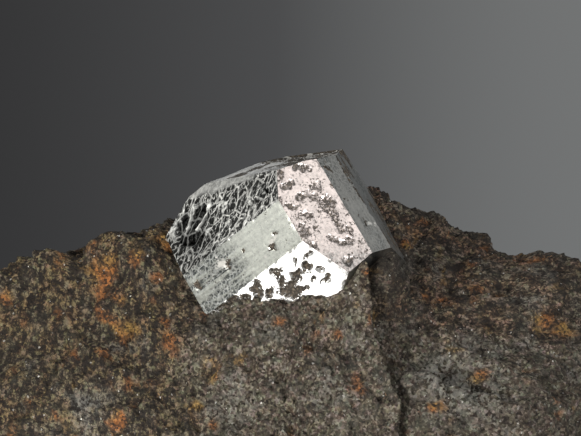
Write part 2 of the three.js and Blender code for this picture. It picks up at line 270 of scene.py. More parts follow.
def front_reach(directions):
    """The front break, the block that stands out of it up to its leaning edge, and the groove.
    Beyond the edge part of the block's height is left, low down."""
    plain = face_reach(FRONT, directions)
    block = face_reach(BLOCK, directions)
    point = along_ray(directions, block)
    drop = np.minimum(BLOCK_EDGE_Z - point[:, 2], BLOCK_EDGE_DROP)
    edge = BLOCK_EDGE_X + (BLOCK_EDGE_LEAN + BLOCK_EDGE_CURVE * drop) * drop
    beyond = point[:, 0] - edge
    inside = 1 - step(0, BLOCK_EDGE_SHARPNESS, beyond)
    groove = np.exp(-(((beyond - BLOCK_EDGE_SHARPNESS) / GROOVE_WIDTH) ** 2)) * (1 - inside)
    below = 1 - step(GROOVE_TOP - 2, GROOVE_TOP, point[:, 2])
    left = LEFT_BEYOND_EDGE * (1 - step(LEFT_BELOW, NONE_LEFT_ABOVE, point[:, 2]))
    share = mix(left, 1, inside)
    shaped = plain + share * np.maximum(block - plain, 0) - GROOVE_DEPTH * groove * below
    return np.where((plain < NO_FACE) & (block < NO_FACE), shaped, plain)


def nearness(directions, middle, half):
    """exp(-d^2), with d from the middle to each ray in half widths, and 0 behind the heart."""
    rise = np.array(middle) - ROCK_HEART
    along = directions @ rise
    miss = (rise @ rise - along**2) / half**2
    return np.where(along > 0, np.exp(-miss), 0)


def humps(directions):
    """Each hump adds its height times how near the ray passes to its middle."""
    return sum(out * nearness(directions, middle, half) for *middle, half, out in HUMPS)


def depth_in_crystal(points):
    """How deep each point is inside the crystal: the least distance under any of its faces."""
    away = points - CRYSTAL_CENTRE
    return np.min([reach - away @ normal for normal, reach in CRYSTAL_FACES.values()], axis=0)


def relief(directions, point):
    """Two coarse sizes of chips that are calmer beside the crystal, three finer sizes on places
    bent by clouds, and one more on the large lump."""
    away = step(CALM_WITHIN, ROUGH_BEYOND, np.linalg.norm(point - CRYSTAL_CENTRE, axis=1))
    total = np.zeros(len(point))
    for beside, beyond, size, seed in COARSE_CHIPS:
        total += mix(beside, beyond, away) * chips(point, size, seed)
    bend = np.stack([cloud(point, BEND_SIZE, seed) - 0.5 for seed in BEND_SEEDS], axis=1)
    bent = point + BEND * bend
    for strength, size, seed in FINE_CHIPS:
        total += strength * chips(bent, size, seed)
    *middle, half, _ = HUMPS[0]
    strength, size, seed = LUMP_CHIPS
    return total + strength * nearness(directions, middle, half) * chips(bent, size, seed)


def rock_reach(directions):
    """The nearest break with softened corners, -s log(sum(exp(-reach / s))), then the humps and
    the chips. Inside the crystal it sinks."""
    reaches = [front_reach(directions)] + [face_reach(f, directions) for f in OTHER_FACES]
    total = sum(np.exp(-r / EDGE_SOFTNESS) for r in reaches)
    plain = -EDGE_SOFTNESS * np.log(total)
    reach = plain + humps(directions) + relief(directions, along_ray(directions, plain))
    return reach - SINK * step(0.05, 0.5, depth_in_crystal(along_ray(directions, reach)))


def put_object(name, data):
    """A new object of that data, in the scene."""
    made = bpy.data.objects.new(name, data)
    bpy.context.scene.collection.objects.link(made)
    return made


def put_mesh(name, points, faces):
    """A mesh object at the origin with its place in its vertices, in metres."""
    mesh = bpy.data.meshes.new(name)
    mesh.from_pydata(points.tolist(), [], faces)
    return put_object(name, mesh)


def put_piece(name, points, faces):
    """A smooth part of the specimen, from points in millimetres."""
    piece = put_mesh(name, to_metres(points), faces)
    piece.data.polygons.foreach_set("use_smooth", np.ones(len(faces), bool))
    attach(piece, "root")
    return piece


def put_numbers(piece, numbers):
    """One number of each name for each vertex, for the materials to read."""
    for name, values in numbers.items():
        attribute = piece.data.attributes.new(name, "FLOAT", "POINT")
        attribute.data.foreach_set("value", np.asarray(values, np.float32))


def ringed(rings, count):
    """Faces for a middle point with rings of that many points round it: a fan of triangles at
    the middle, and quads from each ring to the next."""
    ring = np.arange(count)
    after = (ring + 1) % count
    fan = np.stack([0 * ring, 1 + ring, 1 + after], axis=-1)
    start = 1 + count * np.arange(rings - 1)[:, None]
    here, beside = start + ring, start + after
    quads = np.stack([here, here + count, beside + count, beside], axis=-1)
    return fan, quads.reshape(-1, 4)


ROCK_COLUMNS = 560
ROCK_ROWS = 168
FRONT_CROWDING = 0.4


def rock_surface():
    """Rows go from the top of the lump to its foot, a quarter turn; columns go round, crowded
    toward the front by angle = t - 0.4 sin(t). A fan closes the flat underside."""
    turn = np.arange(ROCK_COLUMNS) / ROCK_COLUMNS * 2 * math.pi
    around = turn - FRONT_CROWDING * np.sin(turn) - math.pi / 2
    from_top = np.arange(1, ROCK_ROWS + 1) / ROCK_ROWS * math.pi / 2
    t, a = np.meshgrid(from_top, around, indexing="ij")
    level = np.cos(t)
    level[-1] = 0
    grid = np.stack([np.sin(t) * np.cos(a), np.sin(t) * np.sin(a), level], axis=-1).reshape(-1, 3)
    directions = np.vstack([[[0.0, 0.0, 1.0]], grid])
    points = along_ray(directions, rock_reach(directions))
    points = np.vstack([points, [[ROCK_HEART[0], ROCK_HEART[1], 0.0]]])
    cap, sides = ringed(ROCK_ROWS, ROCK_COLUMNS)
    foot = cap + (ROCK_ROWS - 1) * ROCK_COLUMNS
    under = np.stack([0 * foot[:, 0] + len(points) - 1, foot[:, 2], foot[:, 1]], axis=-1)
    return points, sides.tolist() + cap.tolist() + under.tolist()


# Stains and patches as seen: right, up, half length, half width and turn.
RUST_STAINS = [
    (-11.4, -4.6, 1.3, 0.45, -20), (-10.1, -6.7, 1.2, 0.45, -25), (-11.2, -8.0, 0.4, 0.5, 0),
    (-11.3, -3.0, 0.8, 0.7, 30), (-9.6, -2.5, 0.8, 0.5, 0), (-7.9, -3.6, 0.6, 0.7, 20),
    (-14.0, -2.6, 0.5, 0.6, 0), (-17.0, -4.6, 0.8, 0.6, 0), (-5.1, -5.8, 0.3, 0.3, 0),
    (-10.3, -12.0, 0.6, 0.9, 0), (-5.7, -11.2, 0.6, 0.5, 0), (7.1, -1.5, 0.35, 0.4, 0),
    (5.0, 1.0, 0.5, 0.3, -50), (6.6, 0.5, 0.8, 0.12, -20), (15.0, -2.6, 1.3, 0.2, -8),
    (11.6, -1.8, 1.0, 0.4, -15), (9.6, -0.9, 0.4, 0.2, 0), (14.9, -6.1, 1.2, 0.5, -10),
    (16.8, -6.6, 0.8, 0.5, 0), (11.4, -9.5, 1.3, 0.6, 15), (8.5, -11.5, 0.7, 0.4, 0),
    (-0.8, -6.2, 0.5, 0.3, 0),
]
LUMP = (6.3, -2.75, 1.25, 0.85, -15)
RUSTY_LEFT = (-10.2, -4.6, 3.6, 3.4, 0)
OCHRE_SPOTS = [
    (-10.8, -2.4, 0.9, 0.5, 20), (-7.6, -1.1, 0.35, 0.5, 0), (-9.4, -6.6, 0.7, 0.4, -30),
    (7.5, -1.4, 0.3, 0.35, 0), (16.5, -6.6, 0.9, 0.5, 0), (-14.6, -2.3, 0.4, 0.5, 0),
]
DARK_SPOTS = [
    (8.6, 0.35, 1.1, 0.45, -20), (11.7, -1.0, 0.9, 0.5, -20), (15.9, -9.4, 1.7, 0.28, 27),
    (6.0, -5.4, 0.9, 1.5, 15), (9.3, 0.3, 0.35, 0.3, 0), (-10.0, -5.4, 1.3, 0.3, -20),
    (-4.9, -6.3, 0.8, 0.5, 0),
]
# The first pale spot is painted light on the lower right front; the others are lighter rock.
PALE_AND_LIT_SPOTS = [
    (10.5, -10.5, 2.6, 1.6, 0), (-11.6, -10.9, 1.3, 0.6, 10), (-12.4, -12.2, 0.6, 1.2, 0),
    (8.9, -3.4, 0.6, 0.5, 0), (14.6, -4.9, 1.0, 0.4, 0), (-0.9, -7.0, 0.6, 0.5, 0),
    (8.6, -9.2, 1.4, 0.8, 20), (-4.8, -11.6, 0.6, 0.6, 0),
]


def rock_numbers(points):
    """Numbers for the rock's material: rust where stains and clouds meet, ochre where it is
    yellower, dark on the lump, in bands and in random spots, pale on lighter patches and painted
    light on one of them, left on the browner side and slope on the upper
    right."""
    right, up = seen_place(points)
    facing = step(9, 5, points[:, 1])
    stains = covered(right, up, RUST_STAINS) * facing
    ochre = covered(right, up, OCHRE_SPOTS) * facing
    pale_and_painted_light = covered(right, up, PALE_AND_LIT_SPOTS) * facing
    bands = covered(right, up, DARK_SPOTS) * step(11, 8, points[:, 1])
    lump = ellipse(right, up, LUMP) * facing
    grain = layered(points, 0.95, 301, 3)
    wide = layered(points, 4.0, 311, 2)
    ragged = 1.2 * (layered(points, 1.6, 361, 3) - 0.5)
    left = step(-3.6, -8.6, points[:, 0] + 2.5 * ragged + 3.0 * (wide - 0.5))
    slope = step(4.0, 5.0, right + ragged) * step(-7.3, -6.5, up + 0.05 * (right - 8) + ragged)
    ridge = step(16.0, 18.5, points[:, 2]) * step(4.0, 6.0, points[:, 0])
    rusty = ellipse(right, up, RUSTY_LEFT) * facing
    chance = 0.01 * left - 0.03 * ridge + 0.02 * slope + 0.1 * rusty + 0.2 * (wide - 0.5) - 0.045
    rust = step(0.6, 0.82, grain + chance + 0.33 * np.maximum(stains, ochre))
    yellower = step(0.5, 0.66, layered(points, 1.9, 351, 2))
    darker = step(0.56, 0.7, layered(points, 1.4, 331, 3))
    paler = step(0.58, 0.72, layered(points, 1.8, 341, 3))
    dark = np.clip(0.25 * slope + 0.2 * left + 2.0 * lump + 0.7 * bands, 0, 1.1)
    return {
        "rust": rust * (1 - np.clip(1.5 * lump + 0.9 * bands, 0, 1)),
        "ochre": np.clip(ochre + yellower, 0, 1),
        "dark": np.clip(dark + 0.3 * darker, 0, 1.2),
        "pale_and_painted_light": np.clip(pale_and_painted_light + 0.5 * paler, 0, 1),
        "left": left,
        "slope": slope * (1 - np.clip(1.3 * lump, 0, 1)),
    }


# Crystal: Miller planes on its own axes.

AXIS_A = unit(seen(-0.561, -0.142, 0.816))
AXIS_C = unit(seen(0.662, 0.516, 0.544))
AXIS_B = unit(np.cross(AXIS_C, AXIS_A))


def crystal_face(a, b, c, reach):
    """Outward direction of the plane with those Miller indices, and its distance."""
    return unit(a * AXIS_A + b * AXIS_B + c * AXIS_C), reach


# Miller indices of each plane, and its distance.
CRYSTAL_PLANES = {
    "front_cube": (1, 0, 0, 5.87), "white": (2, 1, 0, 5.79),
    "pitted": (1, 0, 2, 6.9), "etched": (2, -1, 0, 6.02),
    "right_cube": (0, 0, 1, 6.47), "far_right": (-1, 0, 2, 5.63),
    "top": (0, -2, 1, 5.69), "low_left": (1, 0, -2, 6.4),
    "upper_left": (0, -2, -1, 6.5), "back_cube": (-1, 0, 0, CUBE_REACH),
    "low_cube": (0, 1, 0, CUBE_REACH), "high_cube": (0, -1, 0, CUBE_REACH),
    "left_cube": (0, 0, -1, CUBE_REACH), "back_low": (-2, 1, 0, PYRITOHEDRON_REACH),
    "back_high": (-2, -1, 0, PYRITOHEDRON_REACH), "low_right": (0, 2, 1, PYRITOHEDRON_REACH),
    "low_back": (0, 2, -1, PYRITOHEDRON_REACH), "left_back": (-1, 0, -2, PYRITOHEDRON_REACH),
}
CRYSTAL_FACES = {name: crystal_face(*plane) for name, plane in CRYSTAL_PLANES.items()}
CRYSTAL_FACES["worn_edge"] = (unit(seen(-0.27, 0.955, 0.12)), 5.72)

# Rings from a face's middle to its outline, and the spacing of points along its edges.
DETAILED = {"front_cube": 44, "white": 40, "pitted": 48, "etched": 84, "right_cube": 28, "top": 16}
PLAIN_RINGS = 7
FINE_STEP = 0.075
PLAIN_STEP = 0.45
# What counts as parallel planes, as the same corner and as on a plane.
PARALLEL = 1e-6
SAME_PLACE = 1e-4
ON_PLANE = 1e-5


def face_corners(name):
    """Corners of a face, in order: where it meets two other planes inside all the rest."""
    normal, reach = CRYSTAL_FACES[name]
    normals = np.array([f[0] for f in CRYSTAL_FACES.values()])
    reaches = np.array([f[1] for f in CRYSTAL_FACES.values()])
    others = [k for k, other in enumerate(CRYSTAL_FACES) if other != name]
    corners = []
    for j, k in itertools.combinations(others, 2):
        planes = np.array([normal, normals[j], normals[k]])
        if abs(np.linalg.det(planes)) < PARALLEL:
            continue
        corner = np.linalg.solve(planes, [reach, reaches[j], reaches[k]])
        new = all(np.linalg.norm(corner - known) > SAME_PLACE for known in corners)
        if new and (normals @ corner < reaches + ON_PLANE).all():
            corners.append(corner)
    corners = np.array(corners)
    rim = corners - corners.mean(axis=0)
    side = np.cross(normal, rim[0])
    return corners[np.argsort(np.arctan2(rim @ side, rim @ rim[0]))]


def edge_is_fine(a, b):
    """Whether a detailed face shares the edge from a to b."""
    detailed = [CRYSTAL_FACES[name] for name in DETAILED]
    return any(max(abs(n @ a - r), abs(n @ b - r)) < SAME_PLACE for n, r in detailed)


def outline(corners):
    """Points along the polygon's edges, evenly spaced on each."""
    stretches = []
    for a, b in zip(corners, np.roll(corners, -1, axis=0)):
        spacing = FINE_STEP if edge_is_fine(a, b) else PLAIN_STEP
        count = max(1, round(np.linalg.norm(b - a) / spacing))
        t = np.arange(count)[:, None] / count
        stretches.append(a + (b - a) * t)
    return np.vstack(stretches)


def face_patch(name):
    """Rings from the middle of a face to its outline: point = middle + v (outline(u) - middle).
    Gives the points, each one's distance from the nearest edge, and the faces."""
    corners = face_corners(name)
    rim = outline(corners)
    rings = DETAILED.get(name, PLAIN_RINGS)
    middle = corners.mean(axis=0)
    v = (np.arange(1, rings + 1) / rings)[:, None, None]
    points = np.vstack([[middle], (middle + v * (rim - middle)).reshape(-1, 3)])
    normal = CRYSTAL_FACES[name][0]
    inset = np.full(len(points), np.inf)
    for a, b in zip(corners, np.roll(corners, -1, axis=0)):
        inward = np.cross(normal, unit(b - a))
        inset = np.minimum(inset, (points - a) @ inward)
    return (points, inset, *ringed(rings, len(rim)))


# Dark pits and other spots as seen: right, up, half length, half width and turn. The seam's
# places are right and up.
WHITE_PITS = [
    (-0.84, -3.36, 0.36, 0.34, 0), (0.93, -2.94, 0.22, 0.42, 0), (0.39, -3.42, 0.42, 0.28, 30),
    (0.15, -3.9, 0.3, 0.3, 0), (1.08, -2.16, 0.07, 0.26, 0), (0.24, -2.73, 0.3, 0.07, -45),
    (1.83, -3.03, 0.27, 0.13, -10), (2.19, -3.6, 0.33, 0.15, 35), (1.26, -3.54, 0.08, 0.3, 15),
    (-2.0, -4.4, 0.3, 0.7, 0), (-1.25, -4.45, 0.25, 0.35, 0), (0.0, -4.45, 0.75, 0.4, 0),
    (0.8, -4.3, 0.3, 0.15, 20), (-0.5, -3.95, 0.25, 0.3, 0),
]
PITTED_PITS = [
    (2.19, 0.84, 0.5, 0.6, 0), (2.6, 0.15, 0.5, 0.3, -60), (2.9, -0.45, 0.5, 0.18, -65),
    (3.5, -0.64, 0.12, 0.35, 30), (2.65, -1.3, 0.5, 0.14, -20), (3.4, -1.4, 0.5, 0.14, 22),
    (3.5, -2.5, 0.35, 0.25, 20), (0.3, 3.2, 0.2, 0.3, 0), (0.87, 2.97, 0.32, 0.28, 0),
    (-0.63, 2.76, 0.2, 0.33, 40), (-0.25, 2.0, 0.55, 0.17, 20), (1.35, 1.8, 0.35, 0.15, -20),
    (0.63, 1.26, 0.33, 0.22, 20), (0.0, 0.66, 0.3, 0.18, -30), (1.0, 0.18, 0.5, 0.15, -10),
    (0.93, -0.84, 0.15, 0.28, 20), (0.7, -0.48, 0.3, 0.1, -25),
]
SMOOTH_PATCH = (2.7, -2.1, 0.9, 0.4, 30)
RIGHT_PITS = [
    (4.47, -0.24, 0.14, 0.28, 20), (2.3, 2.95, 0.45, 0.1, -55), (3.3, 1.0, 0.12, 0.2, 0),
]
RIGHT_SEAM = [(2.73, 3.78), (3.45, 2.4), (4.4, 1.0), (5.25, -0.12), (5.91, -1.45), (6.39, -2.16)]
SEAM_WIDTH = 0.09
CUBE_PITS = [
    (-1.14, -1.74, 0.34, 0.24, -40), (-3.75, -2.75, 0.14, 0.3, -10), (-5.5, -4.0, 0.22, 0.3, 0),
    (-3.2, 0.2, 0.1, 0.08, 0), (-1.0, -0.9, 0.12, 0.1, 0), (-0.3, 0.0, 0.1, 0.12, 0),
    (-2.85, -1.9, 0.1, 0.1, 0),
]
# Painted glints: bright spots where the faces catch the light, painted as a pale colour.
PAINTED_GLINT_SPOTS = [
    (-1.17, -1.42, 0.22, 0.1, 0), (-1.47, -2.3, 0.13, 0.14, 0), (-4.15, -2.7, 0.3, 0.4, 20),
    (-0.95, -1.1, 0.1, 0.08, 0), (4.7, -0.3, 0.1, 0.2, 30), (5.05, -0.33, 0.12, 0.12, 0),
]


def pits(points, spots, chance):
    """How lost the surface is, over a half in a pit: placed spots with the angular outlines of
    flagstones, or a base chance that clouds change. The material roughens the pits' edges."""
    places = mix(points, flagstones(points, 0.22, 401), 0.75)
    bend = [0.5 * (layered(places, 0.3, seed, 2) - 0.5) for seed in (402, 403)]
    right, up = seen_place(places)
    placed = np.zeros(len(points))
    for spot in spots:
        placed = np.maximum(placed, ellipse(right + bend[0], up + bend[1], spot))
    patchy = layered(points, 0.7, 421, 2) - 0.5
    return np.maximum(placed, chance * (1 + 4 * patchy))


# The etching's middle and half lengths, the hollows round it, and the long ridges.
ETCH_HEART = (-5.9, -0.75)
ETCH_REACH = (1.5, 1.9)
ETCH_HOLLOWS = [
    (-5.55, 0.25, 0.45, 0.75, -15), (-6.05, -1.15, 0.8, 0.55, 20), (-6.5, -0.4, 0.3, 0.5, -20),
    (-1.55, 1.6, 0.35, 0.15, 30), (-2.2, 0.95, 0.3, 0.12, 35),
]
LONG_RIDGES = [
    [(-4.97, 1.14), (-4.99, 0.7), (-5.2, 0.2), (-5.43, -0.25), (-5.75, -0.7)],
    [(-5.88, 0.9), (-6.12, 0.36), (-6.1, 0.0), (-6.18, -0.48), (-6.5, -0.9)],
    [(-2.43, 0.48), (-2.6, -0.05), (-2.82, -0.5)],
    [(-4.85, -0.55), (-5.1, -0.85), (-5.16, -1.25)],
    [(-3.4, -0.95), (-3.8, -1.2), (-4.31, -1.62)],
    [(-4.9, 2.0), (-4.95, 1.6), (-4.75, 1.25)],
    [(-4.2, 2.0), (-4.15, 1.6), (-4.4, 1.1)],
    [(-2.35, 1.8), (-2.5, 1.3), (-2.4, 0.9)],
    [(-5.6, 2.0), (-5.75, 1.5), (-6.0, 1.25)],
    [(-6.9, -0.2), (-7.0, -0.75), (-7.1, -1.3)],
    [(-6.5, 1.2), (-6.75, 0.6)],
]
RIDGE_WIDTH = 0.05


def near_line(right, up, line):
    """Distance from a line through places as seen: the nearest point of each of its stretches."""
    nearest = np.full(len(right), np.inf)
    place = np.stack([right, up], axis=1)
    for a, b in zip(np.array(line[:-1]), np.array(line[1:])):
        t = np.clip((place - a) @ (b - a) / ((b - a) @ (b - a)), 0, 1)
        nearest = np.minimum(nearest, np.linalg.norm(place - a - t[:, None] * (b - a), axis=1))
    return nearest


STREAK_STRETCH = 14


def striations(points, direction, spacing, seed):
    """Fine grooves along a direction: cloud noise stretched many times along it, from 0 to 1."""
    along = points @ direction
    squeezed = points - np.outer(along, direction) * (1 - 1 / STREAK_STRETCH)
    return layered(squeezed, spacing, seed, 3)


# Each face's marks: how deep it is pressed in, in millimetres, and numbers for the material.


def etched_face(points):
    """Deep black hollows round the heart of the etching, long ridges between them, and a calm strip
    along the upper edge, which is frosted as the ridges are. The frost is also a painted sheen."""
    right, up = seen_place(points)
    bend = [0.12 * (cloud(points, 0.35, seed) - 0.5) for seed in (571, 572)]
    places = mix(points, flagstones(points, 0.25, 577), 0.5)
    across = (right - ETCH_HEART[0]) / ETCH_REACH[0]
    coarse = 1 - step(0.6, 1.3, np.hypot(across, (up - ETCH_HEART[1]) / ETCH_REACH[1]))
    hollow = sum(ellipse(*seen_place(places), h) for h in ETCH_HOLLOWS)
    hollow = np.maximum(step(0.2, 0.5, hollow), 0.5 * coarse)
    ridge = np.zeros(len(points))
    for line in LONG_RIDGES:
        far = near_line(right + bend[0], up + bend[1], line)
        ridge = np.maximum(ridge, np.exp(-((far / RIDGE_WIDTH) ** 2)))
    ridge = ridge * step(0.15, 0.4, layered(points, 0.35, 575, 2))
    top_strip = 0.963 * up - 0.27 * right + 0.5 * (layered(points, 0.5, 551, 3) - 0.5)
    calm = step(2.75, 2.95, top_strip) * (1 - step(-2.6, -1.9, right))
    net = layered(points, 0.3, 561, 3)
    depth = 0.12 * (net - 0.5) + 0.2 * hollow * (1 - 0.6 * ridge) - 0.04 * ridge
    return {
        "depth": depth * (1 - 0.9 * calm),
        "etched": 1 - calm,
        "hollow": hollow,
        "frost_and_painted_sheen": np.maximum(ridge, 0.62 * calm),
    }


def white_face(points):
    """Smooth, with large sharp pits, and more pits that darken it along its foot."""
    _, up = seen_place(points)
    dirt = pits(points, WHITE_PITS, 0.02 + 0.5 * step(-4.35, -4.95, up))
    return {"dirt": dirt, "depth": 0.16 * step(0.35, 0.6, dirt)}


def pitted_face(points):
    """Pits everywhere but on one smooth patch, and darker toward its foot."""
    right, up = seen_place(points)
    smooth = ellipse(right, up, SMOOTH_PATCH)
    dirt = pits(points, PITTED_PITS, 0.22 * (1 - smooth))
    low = step(-1.0, -2.6, up)
    waves = 0.04 * (layered(points, 0.5, 451, 3) - 0.5)
    return {
        "dirt": dirt,
        "depth": 0.08 * step(0.35, 0.6, dirt) + waves,
        "shade": 0.5 * low + 0.2 * step(0.5, 0.7, layered(points, 0.5, 455, 3)),
        "mottled": 1 - smooth,
    }


def front_face(points):
    """Small pits, bright flecks painted as glints, and streaks that darken its lower left part."""
    right, up = seen_place(points)
    wide_cloud = layered(points, 1.5, 411, 2)
    low = step(-3.3, -5.4, 0.785 * right + 0.62 * up + 1.2 * (wide_cloud - 0.5))
    dirt = pits(points, CUBE_PITS, 0.12)
    streak = striations(points, AXIS_C, 0.2, 461)
    wide_streak = striations(points, AXIS_C, 0.55, 465)
    shade = low * (0.3 + 0.9 * step(0.42, 0.6, streak) + 0.5 * step(0.5, 0.62, wide_streak))
    return {
        "dirt": dirt,
        "depth": 0.05 * step(0.35, 0.6, dirt) + 0.1 * low * (streak - 0.5),
        "shade": shade + 0.2 * (1 - low) * step(0.5, 0.65, streak),
        "fleck_and_painted_glint": pits(points, PAINTED_GLINT_SPOTS, 0.0),
    }


def right_face(points, seed=471):
    """Streaks, dark spots, a darker upper part, a seam of dirt along its far edge, and painted
    glints.
    """
    right, up = seen_place(points)
    streak = striations(points, AXIS_B, 0.2, seed)
    spotty = step(0.5, 0.7, layered(points, 0.3, 476, 3))
    seam = np.exp(-((near_line(right, up, RIGHT_SEAM) / SEAM_WIDTH) ** 2))
    return {
        "dirt": np.maximum(pits(points, RIGHT_PITS, 0.1), 0.6 * seam),
        "depth": 0.04 * (streak - 0.5),
        "shade": 0.4 * step(0.45, 0.62, streak) + 0.3 * spotty + 0.3 * step(0.5, 2.5, up),
        "fleck_and_painted_glint": pits(points, PAINTED_GLINT_SPOTS, 0.0),
    }


def top_face(points):
    """A rough strip with dirt all over it, and bright flecks painted as glints."""
    return {
        "dirt": 0.25 + 0.6 * layered(points, 0.3, 483, 3),
        "depth": 0.25 * layered(points, 0.35, 481, 3),
        "fleck_and_painted_glint": step(0.5, 0.75, layered(points, 0.25, 485, 2)),
    }


def plain_face(points):
    """A shallow roughness, with patches of dirt and shade."""
    return {
        "dirt": 0.9 * step(0.45, 0.75, layered(points, 1.1, 493, 3)),
        "depth": 0.05 * layered(points, 0.9, 491, 3),
        "shade": step(0.4, 0.6, layered(points, 0.6, 494, 3)),
    }


def far_right_face(points):
    """A plain face with grooves, and painted glints like those of the right face."""
    streaked = right_face(points, 472)
    plain = plain_face(points)
    depth = streaked["depth"] + plain["depth"]
    return {**plain, "depth": depth, "fleck_and_painted_glint": streaked["fleck_and_painted_glint"]}


FACE_MARKS = {
    "etched": etched_face,
    "white": white_face,
    "pitted": pitted_face,
    "front_cube": front_face,
    "right_cube": right_face,
    "far_right": far_right_face,
    "top": top_face,
}
MARKS = ("depth", "dirt", "etched", "hollow", "mottled", "shade", "fleck_and_painted_glint", "frost_and_painted_sheen")


def crystal_surface():
    """The patches of all the faces, joined where they meet. Gives the points, each one's face
    and distance from that face's edge, then the polygons and each one's face."""
    patches, blocks, numbers = [], [], []
    offset = 0
    for number, name in enumerate(CRYSTAL_FACES):
        points, inset, *own_blocks = face_patch(name)
        patches.append((points, inset, np.full(len(points), number)))
        for block in own_blocks:
            blocks.append(block + offset)
            numbers.append(np.full(len(block), number))
        offset += len(points)
    loose, inset, owner = (np.concatenate(parts) for parts in zip(*patches))
    rounded = np.round(loose, 5)
    _, first, merged = np.unique(rounded, axis=0, return_index=True, return_inverse=True)
    polygons = [corners for block in blocks for corners in merged.reshape(-1)[block].tolist()]
    points = loose[first] + CRYSTAL_CENTRE
    return points, owner[first], inset[first], polygons, np.concatenate(numbers)


def crystal_marks(points, owner):
    """The marks of all the faces, each from its own face's function, and 0 where it has none."""
    marks = {name: np.zeros(len(points)) for name in MARKS}
    for number, name in enumerate(CRYSTAL_FACES):
        here = owner == number
        for mark, values in FACE_MARKS.get(name, plain_face)(points[here]).items():
            marks[mark][here] = values
    return marks


EDGE_FADE = 0.25
NIBBLE_WIDTH = 0.09
NIBBLE_DEPTH = 0.04
NIBBLED_BEYOND = -4.5
WORN_CORNER = CRYSTAL_CENTRE + seen(-5.4, 4.4, 0.5)
WORN_REACH = 2.2
WORN_DEPTH = 0.22


def worn(points, owner, inset, depth):
    """The points pressed in by their depth, which fades out at the edges, then pulled toward the
    crystal's middle where its edges are nibbled and round its worn upper left corner."""
    right, _ = seen_place(points)
    normals = np.array([normal for normal, _ in CRYSTAL_FACES.values()])[owner]
    edge = np.exp(-((inset / NIBBLE_WIDTH) ** 2)) * (right > NIBBLED_BEYOND)
    nibble = NIBBLE_DEPTH * edge * step(0.5, 0.8, layered(points, 0.3, 495, 2))
    near = np.exp(-(((points - WORN_CORNER) ** 2).sum(axis=1)) / WORN_REACH**2)
    pull = nibble + near * WORN_DEPTH * layered(points, 0.7, 497, 3)
    inward = unit(points - CRYSTAL_CENTRE)
    pressed = depth * step(0.0, EDGE_FADE, inset)
    return points - normals * pressed[:, None] - inward * pull[:, None]


def make_crystal():
    """Builds the crystal: its surface, and the numbers that its material reads."""
    points, owner, inset, polygons, numbers = crystal_surface()
    marks = crystal_marks(points, owner)
    depth = marks.pop("depth")
    marks["shade"] = np.clip(marks["shade"], 0, 1)
    piece = put_piece("crystal_body", worn(points, owner, inset, depth), polygons)
    put_numbers(piece, marks)
    mark_faces(piece.data, numbers)
    return piece


# Tint and roughness of each face. The tints also hold painted shade: the right cube and the faces
# at the lower and upper left are painted darker than the rest of the metal.
FACE_TINT_SHADE_ROUGHNESS = {
    "white": (0.9, 0.89, 0.86, 0.2), "pitted": (0.83, 0.74, 0.7, 0.3),
    "front_cube": (0.635, 0.65, 0.585, 0.3), "etched": (0.75, 0.77, 0.75, 0.26),
    "low_left": (0.2, 0.17, 0.14, 0.4), "upper_left": (0.25, 0.25, 0.23, 0.4),
    "right_cube": (0.425, 0.42, 0.395, 0.34), "far_right": (0.34, 0.34, 0.33, 0.4),
    "top": (0.3, 0.285, 0.25, 0.5), "worn_edge": (0.36, 0.36, 0.33, 0.55),
}
PLAIN_FINISH = (0.55, 0.54, 0.51, 0.4)


def mark_faces(mesh, numbers):
    """Each face's tint, with its painted shade, and roughness on its corners, so that they change
    at the edges, and sharp edges between the crystal's faces."""
    totals = np.zeros(len(mesh.polygons), np.int32)
    mesh.polygons.foreach_get("loop_total", totals)
    owner = np.repeat(numbers, totals)
    shaded_tints_and_roughness = np.array([FACE_TINT_SHADE_ROUGHNESS.get(name, PLAIN_FINISH) for name in CRYSTAL_FACES])[owner]
    colours = np.insert(shaded_tints_and_roughness[:, :3], 3, 1.0, axis=1)
    tint_and_painted_shade = mesh.attributes.new("tint_and_painted_shade", "FLOAT_COLOR", "CORNER")
    tint_and_painted_shade.data.foreach_set("color", colours.ravel().astype(np.float32))
    finish = mesh.attributes.new("finish", "FLOAT", "CORNER")
    finish.data.foreach_set("value", shaded_tints_and_roughness[:, 3].astype(np.float32))
    loop_edges = np.zeros(len(mesh.loops), np.int32)
    mesh.loops.foreach_get("edge_index", loop_edges)
    low = np.full(len(mesh.edges), len(CRYSTAL_FACES))
    high = np.full(len(mesh.edges), -1)
    np.minimum.at(low, loop_edges, owner)
    np.maximum.at(high, loop_edges, owner)
    sharp = mesh.attributes.new("sharp_edge", "BOOLEAN", "EDGE")
    sharp.data.foreach_set("value", low != high)


# Materials.


class Wire:
    """A shader value: sums, differences and products add their Math nodes."""

    def __init__(self, paint, socket):
        self.paint = paint
        self.socket = socket

    def math(self, operation, *others):
        inputs = dict(enumerate([self, *others]))
        return self.paint.node("ShaderNodeMath", {"operation": operation}, inputs)

    def __add__(self, other):
        return self.math("ADD", other)

    def __sub__(self, other):
        return self.math("SUBTRACT", other)

    def __rsub__(self, other):
        return (self * -1.0) + other

    def __mul__(self, other):
        return self.math("MULTIPLY", other)

    __radd__ = __add__
    __rmul__ = __mul__


